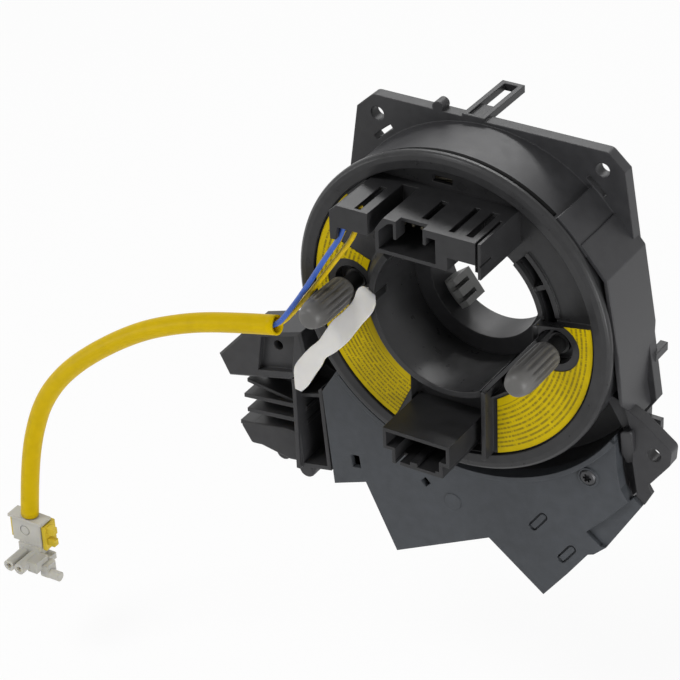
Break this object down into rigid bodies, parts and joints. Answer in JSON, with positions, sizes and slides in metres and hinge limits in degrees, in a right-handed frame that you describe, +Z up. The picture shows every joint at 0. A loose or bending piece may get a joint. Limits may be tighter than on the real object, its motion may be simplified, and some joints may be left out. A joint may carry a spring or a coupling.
{
  "type": "steering clock spring",
  "caption": "Spiral cable unit for a steering column: a flanged drum with a lead box below, a turning face with connectors, drive pins and labels, and an airbag lead.",
  "frame": {"origin": "centre of the column bore, in the plane of the flange's back face", "axes": "+Z up towards the flange's top edge, the steering axis along Y with the wheel side towards -Y, +X to the right as seen from the wheel"},
  "size_m": [0.2313, 0.074, 0.1912],
  "materials": {
    "black_plastic": "satin moulded",
    "cover_plastic": "fine texture",
    "connector_plastic": "satin moulded",
    "lead_block_plastic": "moulded",
    "terminal_metal": "tinned",
    "screw_steel": "plated",
    "ribbon_film": "film with copper strips inside",
    "catch_plastic": "moulded",
    "label_film": "printed film",
    "pin_plastic": "moulded",
    "cap_plastic": "moulded",
    "tab_plastic": "moulded",
    "blue_insulation": "satin",
    "yellow_insulation": "satin",
    "sleeve_plastic": "soft translucent tube",
    "plug_plastic": "moulded",
    "lock_plastic": "moulded"
  },
  "bodies": {
    "housing": {"housing": "black_plastic", "left_carrier": "black_plastic", "lower_cover": "cover_plastic", "cover_screw": "screw_steel", "vehicle_connector": "connector_plastic", "vehicle_terminals": "terminal_metal", "lead_frame": "black_plastic", "ribbon_cable": "ribbon_film", "outer_lead_block": "lead_block_plastic"},
    "rotor": {"rotor_face": "black_plastic", "rotor_sleeve": "black_plastic", "cancel_cam": "black_plastic", "centring_catch": "catch_plastic", "inner_lead_block": "lead_block_plastic", "upper_connector": "connector_plastic", "upper_terminals": "terminal_metal", "lower_connector": "connector_plastic", "lower_terminals": "terminal_metal", "label_left": "label_film", "label_right": "label_film", "drive_pin_left": "pin_plastic", "drive_pin_right": "pin_plastic", "pin_cap_left": "cap_plastic", "pin_cap_right": "cap_plastic", "blue_wire": "blue_insulation", "yellow_wire": "yellow_insulation", "lead_sleeve": "sleeve_plastic", "plug_body": "plug_plastic", "plug_contacts": "terminal_metal"},
    "transport_tab": {"transport_tab": "tab_plastic"},
    "plug_lock": {"plug_lock": "lock_plastic"}
  },
  "joints": [
    {"name": "rotor_turn", "type": "hinge", "parent": "housing", "child": "rotor", "pos_m": [0, 0, 0], "axis": [0, 1, 0], "range_deg": [-900, 900]},
    {"name": "tab_pull", "type": "slide", "parent": "rotor", "child": "transport_tab", "axis": [0, -1, 0], "range_m": [0, 0.025]},
    {"name": "lock_press", "type": "slide", "parent": "rotor", "child": "plug_lock", "axis": [0, 0, -1], "range_m": [0, 0.002]}
  ]
}
